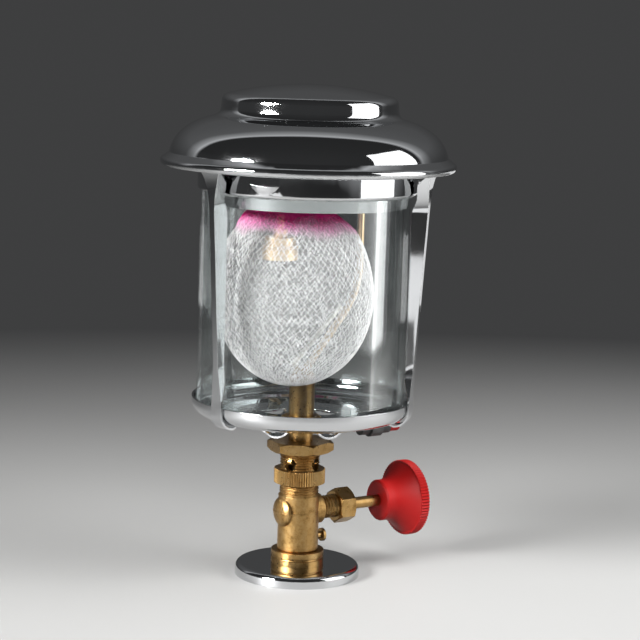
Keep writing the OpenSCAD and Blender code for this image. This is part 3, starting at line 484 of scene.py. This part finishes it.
def mantle_shape():
    """A function from (turn 0..1, height 0..1) to a point of the bag in metres, placed by the CAD boxes."""
    low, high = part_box("mantle")
    tie_low, tie_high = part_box("mantle_tie")
    facing = Matrix.Rotation(MANTLE_TURN, 3, "Z")
    neck = facing.inverted() @ ((tie_low + tie_high) / 2)
    neck_radius = NECK_RADIUS * MM
    bottom = low.z + BAG_LIFT * MM
    top = tie_low.z - BAG_BELOW_TIE * MM
    middle = bottom + (top - bottom) * WIDEST_AT
    v_bottom = neck.y - HANG_AHEAD_LOW * MM
    v_middle = neck.y - HANG_AHEAD_WIDEST * MM

    def outline(degrees):
        """Height, half width and half depth of the bag at an angle of its round outline."""
        t = math.radians(degrees)
        reach = middle - bottom if t < 0 else top - middle
        across = math.cos(t)
        return middle + reach * math.sin(t), BAG_HALF_WIDTH * MM * across, BAG_HALF_DEPTH * MM * across

    def point(turn, height):
        a = 2 * math.pi * turn
        if height < BAG_SHARE:
            z, wide, deep = outline(OUTLINE_START + (OUTLINE_END - OUTLINE_START) * height / BAG_SHARE)
        else:
            k = (height - BAG_SHARE) / NECK_SHARE
            shoulder, wide, deep = outline(OUTLINE_END)
            z = shoulder + (high.z - NECK_BELOW_TOP * MM - shoulder) * k
            ease = (1 - min(1, k / DRAWN_IN)) ** 2
            wide = neck_radius + (wide - neck_radius) * ease
            deep = neck_radius + (deep - neck_radius) * ease
        under_neck = max(0, min(1, (z - (top - ASIDE_FROM_TOP * MM)) / (ASIDE_SPAN * MM)))
        u = neck.x + HANG_ASIDE * MM * (1 - under_neck)
        if z < middle:
            v = v_bottom + (v_middle - v_bottom) * (z - bottom) / (middle - bottom)
        else:
            v = v_middle + (neck.y - v_middle) * min(1, (z - middle) / (top + AHEAD_PAST_TOP * MM - middle))
        pleated = max(0, (z - middle) / (top - middle)) ** 2
        pleat = 1 + PLEAT_DEPTH * math.sin(PLEATS * a + 2 * math.sin(3 * a)) * pleated
        spot = Vector((math.cos(a), math.sin(a), WAVE_PER_METRE * z)) * WAVE_FINENESS
        wave = 1 + WAVE_DEPTH * noise.noise(spot)
        x = u + wide * pleat * wave * math.cos(a)
        y = v + deep * pleat * wave * math.sin(a)
        return facing @ Vector((x, y, z))

    return point


def veil_mesh(point):
    rings, sides = VEIL_RINGS, VEIL_SIDES
    points = [point(i / sides, j / (rings - 1)) for j in range(rings) for i in range(sides)]
    faces = [
        (j * sides + i, j * sides + (i + 1) % sides, (j + 1) * sides + (i + 1) % sides, (j + 1) * sides + i)
        for j in range(rings - 1)
        for i in range(sides)
    ]
    points.append(point(0, 0) / 2 + point(0.5, 0) / 2)
    faces += [(i, len(points) - 1, (i + 1) % sides) for i in range(sides)]
    return points, faces


def knit_course(point, row):
    """The middle line of one course of loops, closed round the bag."""
    count = KNIT_LOOPS * LOOP_STEPS
    path = []
    for i in range(count):
        a = 2 * math.pi * i / count
        phase = 2 * math.pi * i / LOOP_STEPS + math.pi * (row % 2)
        place = Vector((UNEVEN_ROUND * math.cos(a), UNEVEN_ROUND * math.sin(a), row * UNEVEN_PER_ROW))
        rise = row + 0.5 + LOOP_HEIGHT * math.sin(phase) + LOOP_UNEVEN * noise.noise(place)
        swing = LOOP_WIDTH * math.sin(2 * phase) + LOOP_UNEVEN * noise.noise(place * UNEVEN_SIDEWAYS)
        path.append(point(i / count + swing / KNIT_LOOPS, max(0.0, min(1.0, rise / KNIT_ROWS))))
    return path


def yarn_mesh(point):
    """One wavy strand per course, each course's loops hanging in the one below."""
    points, faces = [], []
    radius = YARN_RADIUS * MM
    for row in range(KNIT_ROWS):
        first = len(points)
        path = knit_course(point, row)
        count = len(path)
        centre = (path[0] + path[count // 2]) / 2
        for i in range(count):
            along = (path[(i + 1) % count] - path[i - 1]).normalized()
            out = path[i] - centre
            out.z = 0
            side = along.cross(out).normalized()
            normal = side.cross(along).normalized()
            weave = YARN_WEAVE * radius * math.cos(2 * math.pi * i / LOOP_STEPS)
            for s in range(YARN_SIDES):
                b = 2 * math.pi / YARN_SIDES * s
                lift = radius * math.cos(b) + weave
                points.append(path[i] + normal * lift + side * (radius * math.sin(b)))
        for i in range(count):
            here = first + i * YARN_SIDES
            ahead = first + (i + 1) % count * YARN_SIDES
            for s in range(YARN_SIDES):
                r = (s + 1) % YARN_SIDES
                faces.append((here + s, ahead + s, ahead + r, here + r))
    return points, faces


def floor():
    """A pale floor, lit round the lantern, that runs into a dim glowing backdrop with a painted pool of light
    in front at the right.
    """
    n = material_nodes("floor")
    cloud = n.noise(3, 2, 0.5)
    sources = {"Base Color": n.ramp(cloud, (0.3, (0.235, 0.234, 0.23)), (0.7, (0.26, 0.259, 0.255)))}
    near = n.principled(sources, Roughness=0.6)
    # Painted pool of light: the far floor glows, paler in front of the lantern at its right
    ahead = n.span(n.measure("DOT_PRODUCT", n.place(), FRONT_RIGHT), 0, 1, FRONT_START, FRONT_END)
    far = n.add("ShaderNodeEmission")
    n.link(n.ramp(ahead, (0.0, cool_grey(HORIZON)), (1.0, FAR_FRONT_GLOW)), far.inputs["Color"])
    fade = n.span(n.measure("DISTANCE", n.place(), FLOOR_MIDDLE), 0, 1, FADE_START, FADE_END)
    turns = [2 * math.pi * i / FLOOR_SIDES for i in range(FLOOR_SIDES)]
    rim = [(FLOOR_REACH * math.cos(a), FLOOR_REACH * math.sin(a), 0) for a in turns]
    mesh = bpy.data.meshes.new("floor")
    mesh.from_pydata(rim, [], [tuple(range(FLOOR_SIDES))])
    obj = new_object("floor", mesh)
    paint(obj, n.finish(n.mix(fade, near, far.outputs["Emission"])))


def sky():
    """A dim sky above the horizon, with an arch of light over the lantern."""
    n = Nodes(bpy.data.worlds.new("studio"), "ShaderNodeOutputWorld")
    direction = n.add("ShaderNodeTexCoord").outputs["Generated"]
    across = n.span(n.measure("DOT_PRODUCT", direction, AWAY), 0, 1, -1, 1)
    arch = n.ramp(across, *((position, cool_grey(tone)) for position, tone in SKY))
    mix = n.add("ShaderNodeMix")
    mix.data_type = "RGBA"
    mix.inputs["A"].default_value = (*cool_grey(HORIZON), 1)
    n.link(n.span(n.height(direction), 0, 1, SKY_START, SKY_FULL), mix.inputs["Factor"])
    n.link(arch, mix.inputs["B"])
    background = n.add("ShaderNodeBackground")
    n.link(mix.outputs["Result"], background.inputs["Color"])
    scene.world = n.finish(background.outputs["Background"])


def at(right, away, up):
    """A place in metres from the lantern's foot, in the camera's directions."""
    return RIGHT * right + AWAY * away + UP * up


def area_light(name, place, target, size, power, spread=180, oval=False, mirrored=True):
    """A light of a size in metres that faces a target. Chrome and glass show it where it is mirrored."""
    data = bpy.data.lights.new(name, "AREA")
    data.shape = "ELLIPSE" if oval else "RECTANGLE"
    data.size, data.size_y = size
    data.energy = power
    data.spread = math.radians(spread)
    obj = new_object(name, data)
    obj.location = place
    obj.visible_glossy = mirrored
    obj.visible_camera = False
    obj.rotation_mode = "QUATERNION"
    obj.rotation_quaternion = (target - place).to_track_quat("-Z", "Y")


def floor_card(name, place, along, size, power):
    """A light that lies just above the floor, its length along a direction, for the legs to mirror."""
    place = place + UP * CARD_LIFT
    area_light(name, place, place + UP + along * CARD_LEAN, size, power)


def lights():
    middle = at(0, 0, 0.1)
    area_light("softbox_right", at(0.50, -0.13, 0.31), at(0, 0, 0.31), (0.40, 0.60), power=2.3)
    area_light("fill_right", at(0.75, -0.15, 0.47), middle, (0.8, 0.36), power=7, spread=100, mirrored=False)
    area_light("lamp_left", at(-0.75, -0.55, 0.44), middle, (0.40, 0.22), power=4.6, spread=60, oval=True)
    behind_right = at(1, 1.75, 0).normalized()
    floor_card("card_right", at(0.60, 0.97, 0), behind_right, (0.45, 1.50), power=2.2)
    ahead_left = at(-0.6, -1, 0).normalized()
    floor_card("card_left", ahead_left * 0.96, ahead_left, (0.45, 0.92), power=1.8)
    area_light("front", at(0.1, -0.85, 0.55), middle, (0.6, 0.4), power=1.6, spread=60, mirrored=False)
    area_light("top", at(0.45, 0, 1.2), middle, (0.7, 0.7), power=2.6, spread=100, mirrored=False)


camera()

# A material for each of the record's slots, then for the nodes that differ from their slot
PAINT = {
    "chrome": chrome(),
    "brass": brass("brass", 0.72, (0.20, 0.40), speckle=180, grain=0.15),
    "steel": steel(),
    "red_plastic": red_plastic(),
    "black_plastic": dark_matte("black_plastic", 0.012),
    "rubber": dark_matte("rubber", 0.016),
    "ceramic": ceramic(),
    "glass": clear_glass(),
    "mantle_cloth": veil(),
    "tie_thread": yarn(),
}
for part in frame["record"]["subparts"]:
    paint(nodes[part["node"]], PAINT[part["material_slot"]])
    smooth(nodes[part["node"]])
# Polished brass for the gas pipe and burner head: pale gold, made paler still by painted light that stands in
# for their highlights
polish_and_painted_light = brass("brass_polished_and_painted_light", 1.2, (0.25, 0.36), speckle=180, grain=0.1, painted_lift=0.22)
paint(nodes["gas_pipe"], polish_and_painted_light)
paint(nodes["burner_head"], polish_and_painted_light)
paint(nodes["valve_body"], brass("brass_forged", 0.68, (0.26, 0.50), speckle=420, grain=0.55))
# Painted shade: the igniter clip gets a dark matte in place of its chrome
paint(nodes["igniter_clip"], dark_matte("clip_painted_shade", 0.02))
for name in ("hood", "dish", "glass_ring", "foot_plate", "foot_collar", "glass"):
    even_normals(nodes[name], revolved=True)
for name in ("leg_left", "leg_back", "leg_right"):
    even_normals(nodes[name], revolved=False)

# The mantle: a thin veil that stands for the CAD bag, with the knit on it
bag = mantle_shape()
cloth = mesh_object("mantle_cloth", *veil_mesh(bag), PAINT["mantle_cloth"], "lantern", "mantle_cloth")
knit = mesh_object("mantle_knit", *yarn_mesh(bag), PAINT["tie_thread"], "lantern", "mantle_cloth")
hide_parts("mantle")
thickness = cloth.modifiers.new("thickness", "SOLIDIFY")
thickness.thickness = VEIL_THICKNESS * MM
thickness.offset = 0

floor()
sky()
lights()
scene.view_settings.view_transform = "Standard"
scene.view_settings.look = "None"
scene.view_settings.exposure = EXPOSURE
